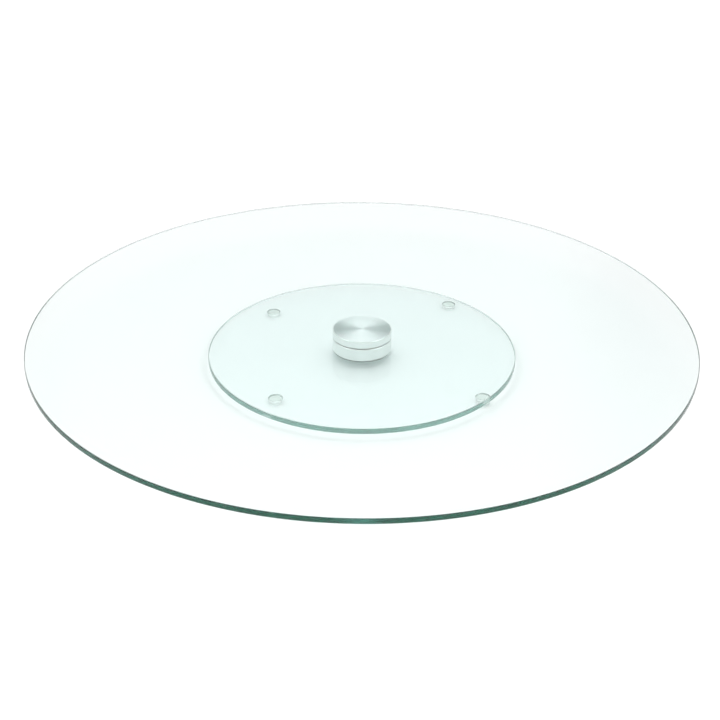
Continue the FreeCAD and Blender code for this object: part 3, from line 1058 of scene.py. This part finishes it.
@dataclass
class Feet:
    """Four clear bumper feet and their adhesive discs.

    Attributes:
        rounding: rounding of a foot's lower edge.
        shoulder: rounding of its upper edge.
        taper: how much smaller its tread's radius is than its top's.
        contact: how far an adhesive disc reaches into the glass and into the foot.
        disc_rounding: rounding of an adhesive disc's edge.
        segments: divisions of the turn.
        arc_steps: divisions of each rounding of a foot.
        foot_step: the greatest length of one step along a foot's profile.
        disc_step: the same along a disc's.
    """

    rounding: float = 0.9 * MM
    shoulder: float = 0.25 * MM
    taper: float = 0.7 * MM
    contact: float = 0.02 * MM
    disc_rounding: float = 0.05 * MM
    segments: int = 96
    arc_steps: int = 8
    foot_step: float = 1.5 * MM
    disc_step: float = 3 * MM

    def build(self) -> list[bpy.types.Object]:
        """Moulds every foot and sets its adhesive disc.

        Returns:
            The pieces, in place.
        """
        # Cast in an open mould: glassy, with faint flow ripples that bend what lies behind it.
        bumper = ClearResin(
            "Clear polyurethane", tint="#f6f8f6", ior=1.49, roughness=0.03, ripple_mm=3.0,
            ripple_height=4e-6,
        ).material()
        # Pressed flat between foot and glass: clear, seen only as a faint line at its edge.
        adhesive = ClearResin(
            "Clear acrylic adhesive", tint="#fbfcfb", ior=1.48, roughness=0.0, ripple_mm=3.0,
            ripple_height=0.0,
        ).material()
        pieces = []
        for corner in Corner:
            foot = self.foot(corner)
            disc = self.adhesive(corner)
            dress(foot, bumper)
            dress(disc, adhesive)
            pieces.append(settle(foot, Body.BASE, Slot.BUMPER, f"foot_{corner.value}"))
            pieces.append(settle(disc, Body.BASE, Slot.ADHESIVE, f"foot_adhesive_{corner.value}"))
        return pieces

    def foot(self, corner: Corner) -> bpy.types.Object:
        """Turns one foot: a disc that tapers to a rounded tread.

        Args:
            corner: which foot it is.

        Returns:
            The foot.
        """
        size = Measured.of(f"foot_{corner.value}")
        return turned_piece(
            f"foot_{corner.value}_bumper",
            [
                (0.0, size.bottom, 0.0),
                (size.radius - self.taper, size.bottom, self.rounding),
                (size.radius, size.top, self.shoulder),
                (0.0, size.top, 0.0),
            ],
            axis=(size.x, size.y),
            segments=self.segments,
            arc_steps=self.arc_steps,
            longest_run=self.foot_step,
        )

    def adhesive(self, corner: Corner) -> bpy.types.Object:
        """Turns one adhesive disc.

        Args:
            corner: which foot it is.

        Returns:
            The disc.
        """
        size = Measured.of(f"foot_adhesive_{corner.value}")
        return turned_piece(
            f"foot_adhesive_{corner.value}_disc",
            [
                (0.0, size.bottom - self.contact, 0.0),
                (size.radius, size.bottom - self.contact, self.disc_rounding),
                (size.radius, size.top + self.contact, self.disc_rounding),
                (0.0, size.top + self.contact, 0.0),
            ],
            axis=(size.x, size.y),
            segments=self.segments,
            longest_run=self.disc_step,
        )


@dataclass
class Bearings:
    """What turns inside the hub, on its CAD meshes: thrust bearing, ball bearing and spindle."""

    def build(self) -> list[bpy.types.Object]:
        """Dresses every kept CAD node.

        Returns:
            The nodes, on their own meshes.
        """
        # Hardened and ground: grey, smooth, with a soft sheen.
        ground = GrainedMetal(
            "Ground bearing steel", colour="#b9babb", shade="#a9abad", roughness=0.2,
            patch_mm=1.5, grain_mm=0.15, grain_height=1e-6,
        ).material()
        # Lapped balls: near mirrors.
        polished = GrainedMetal(
            "Polished bearing steel", colour="#d6d8da", shade="#cfd1d4", roughness=0.07,
            patch_mm=1.0, grain_mm=0.2, grain_height=2e-7,
        ).material()
        # Pressed from strip: duller, with an uneven rolled skin.
        pressed = GrainedMetal(
            "Pressed cold-rolled steel", colour="#b8b8b5", shade="#a6a6a4", roughness=0.3,
            patch_mm=1.2, grain_mm=0.2, grain_height=3e-6,
        ).material()
        # Turned bright: thin rings and a highlight along the spindle.
        turned = TurnedMetal(
            "Fine turned steel", colour="#aeafae", roughness=0.28, anisotropy=0.4, ring_mm=0.3,
            ring_height=3e-6, streak=0.3,
        ).material()
        # Bright zinc: bluish silver that drifts to straw in patches.
        plated = GrainedMetal(
            "Bright zinc plate", colour="#c6ccd3", shade="#d3d2c6", roughness=0.24, patch_mm=2.5,
            grain_mm=0.12, grain_height=2e-6,
        ).material()
        nylon = NaturalNylon().material()
        finishes = {
            "lower_thrust_race": ground,
            "upper_thrust_race": ground,
            "bearing_outer_ring": ground,
            "bearing_inner_ring": ground,
            "thrust_balls": polished,
            "bearing_balls": polished,
            "bearing_shield_upper": pressed,
            "bearing_shield_lower": pressed,
            "bearing_cage_upper": pressed,
            "bearing_cage_lower": pressed,
            "bearing_cage_rivets": pressed,
            "spindle": turned,
            "retaining_washer": plated,
            "retaining_screw": plated,
            "thrust_cage": nylon,
        }
        return [dress(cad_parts[node], finish) for node, finish in finishes.items()]


# ----------------------------------------
# Studio
# ----------------------------------------


@dataclass
class Studio:
    """A white tent over a pale table, lit softly from overhead.

    Attributes:
        wall: brightness of the tent's back wall.
        roof: extra brightness of the diffuser overhead.
        roof_height: where the diffuser begins and where it is brightest, as sines of elevation.
        roof_front: where it ends on the viewer's side and where it is whole, as sines to the back.
        gap: brightness that is missing at the sides, where the back wall ends.
        right_gap: where the right side's gap begins and where it is darkest, as sines to the right.
        left_gap: the same on the left.
        table: the table's colour.
        table_radius: how far the table reaches.
        table_drop: the hair of air under the feet.
        table_sides: corners of the table's outline.
        glass_bounces: turns a light path may take in all, and by reflection alone, inside a sheet.
        clear_bounces: how often it may pass into or out of something clear.
        dull_bounces: how often it may leave a matt surface.
    """

    wall: float = 0.82
    roof: float = 1.21
    roof_height: tuple[float, float] = (0.42, 0.8)
    roof_front: tuple[float, float] = (-0.5, -0.15)
    gap: float = 0.24
    right_gap: tuple[float, float] = (0.12, 0.2)
    left_gap: tuple[float, float] = (0.19, 0.26)
    table: str = "#f6f6f6"
    table_radius: float = 4.0
    table_drop: float = 0.05 * MM
    table_sides: int = 96
    glass_bounces: int = 96
    clear_bounces: int = 32
    dull_bounces: int = 6

    def build(self) -> None:
        """Makes the light, the table and the camera, and sets how light is traced."""
        self.light()
        self.floor()
        self.camera()
        self.tracing()

    def light(self) -> None:
        """Makes the tent: brightness is wall plus roof, less what is missing at the sides."""
        world = bpy.data.worlds.new("White tent")
        bpy.context.scene.world = world
        world.use_nodes = True
        tree = world.node_tree
        tree.nodes.clear()
        direction = add(tree, "ShaderNodeTexCoord").outputs["Generated"]
        parts = add(tree, "ShaderNodeSeparateXYZ", links={0: direction}).outputs
        left = add(tree, "ShaderNodeMath", {1: -1.0}, {0: parts["X"]}, operation="MULTIPLY")
        over = self.ramp(tree, parts["Z"], self.roof_height, self.roof)
        behind = self.ramp(tree, parts["Y"], self.roof_front, 1.0)
        strength = add(
            tree, "ShaderNodeMath", {2: self.wall}, {0: over, 1: behind}, operation="MULTIPLY_ADD"
        )
        for across, gap in ((parts["X"], self.right_gap), (left.outputs[0], self.left_gap)):
            missing = self.ramp(tree, across, gap, self.gap)
            strength = add(
                tree, "ShaderNodeMath",
                links={0: strength.outputs[0], 1: missing},
                operation="SUBTRACT",
            )
        background = add(
            tree, "ShaderNodeBackground",
            {"Color": linear("#ffffff")},
            {"Strength": strength.outputs[0]},
        )
        add(tree, "ShaderNodeOutputWorld", links={"Surface": background.outputs[0]})

    def ramp(
        self,
        tree: bpy.types.NodeTree,
        value: bpy.types.NodeSocket,
        span: tuple[float, float],
        height: float,
    ) -> bpy.types.NodeSocket:
        """Adds a soft ramp from zero.

        Args:
            tree: the world's node tree.
            value: the socket the ramp runs along.
            span: where it starts and where it is full.
            height: what it reaches.

        Returns:
            The ramp's output socket.
        """
        return add(
            tree, "ShaderNodeMapRange",
            {"From Min": span[0], "From Max": span[1], "To Min": 0.0, "To Max": height},
            {"Value": value},
            interpolation_type="SMOOTHSTEP",
        ).outputs[0]

    def floor(self) -> None:
        """Lays the pale table just under the feet."""
        turn = np.linspace(0.0, 2.0 * math.pi, self.table_sides, endpoint=False)
        rim = self.table_radius * np.stack([np.cos(turn), np.sin(turn), np.zeros_like(turn)], 1)
        rim[:, 2] = -self.table_drop
        mesh = bpy.data.meshes.new("table")
        mesh.from_pydata(rim, [], [list(range(len(rim)))])
        table = bpy.data.objects.new("table", mesh)
        bpy.context.scene.collection.objects.link(table)
        material, tree = new_material("Matt white table")
        surface = add(
            tree, "ShaderNodeBsdfPrincipled",
            {
                "Base Color": linear(self.table),
                "Roughness": 1.0,
                "Specular IOR Level": 0.0,
            },
        )
        output(tree, surface)
        mesh.materials.append(material)

    def camera(self) -> None:
        """Sets the camera at a seated viewer's height, a long lens looking down on the platter."""
        viewpoint = Viewpoint()
        data = bpy.data.cameras.new("camera")
        data.lens = viewpoint.lens
        data.sensor_width = viewpoint.sensor
        data.clip_start, data.clip_end = viewpoint.clip
        camera = bpy.data.objects.new("camera", data)
        camera.matrix_world = viewpoint.matrix()
        bpy.context.scene.collection.objects.link(camera)
        bpy.context.scene.camera = camera

    def tracing(self) -> None:
        """Lets light bounce along inside the glass sheets, and shows brightness as it is."""
        scene = bpy.context.scene
        scene.cycles.max_bounces = self.glass_bounces
        scene.cycles.glossy_bounces = self.glass_bounces
        scene.cycles.transmission_bounces = self.clear_bounces
        scene.cycles.diffuse_bounces = self.dull_bounces
        scene.cycles.blur_glossy = 0.0
        scene.view_settings.view_transform = "Standard"


@dataclass(frozen=True)
class Viewpoint:
    """Where the camera stands and looks.

    Attributes:
        distance: from the middle of the platter's face.
        elevation: above that face, in degrees.
        aim_forward: how far in front of the middle the camera points.
        aim_left: how far left of the middle it points.
        tilt: how far it leans to its right side, in degrees.
        lens: focal length in millimetres.
        sensor: sensor width in millimetres.
        clip: the nearest and the farthest that shows.
    """

    distance: float = 1.2414
    elevation: float = 27.248
    aim_forward: float = 0.06319
    aim_left: float = 0.00155
    tilt: float = 0.444
    lens: float = 68.33
    sensor: float = 36.0
    clip: tuple[float, float] = (0.05, 50.0)

    def matrix(self) -> Matrix:
        """Works out the camera's matrix from where it stands and where it points.

        Returns:
            The camera's matrix in the world.
        """
        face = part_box("platter_glass")[1].z
        angle = math.radians(self.elevation)
        back, rise = self.distance * math.cos(angle), self.distance * math.sin(angle)
        eye = Vector((0.0, -back, face + rise))
        aim = Vector((-self.aim_left, -self.aim_forward, face))
        look = (aim - eye).to_track_quat("-Z", "Y").to_matrix().to_4x4()
        return Matrix.Translation(eye) @ look @ Matrix.Rotation(math.radians(self.tilt), 4, "Z")


def main() -> None:
    """Builds the studio and every sub-assembly in order, and reports each piece."""
    logging.basicConfig(level=logging.INFO, format="%(name)s: %(message)s")
    Studio().build()
    assemblies = [
        GlassPlate("base_glass", Body.BASE),
        Feet(),
        Hub(),
        Bearings(),
        BondFilms(),
        GlassPlate("platter_glass", Body.PLATTER),
    ]
    for assembly in assemblies:
        for piece in assembly.build():
            faces = len(piece.data.polygons)
            LOG.info("%s: %s, %d faces", type(assembly).__name__, piece.name, faces)


if __name__ == "__main__":
    main()
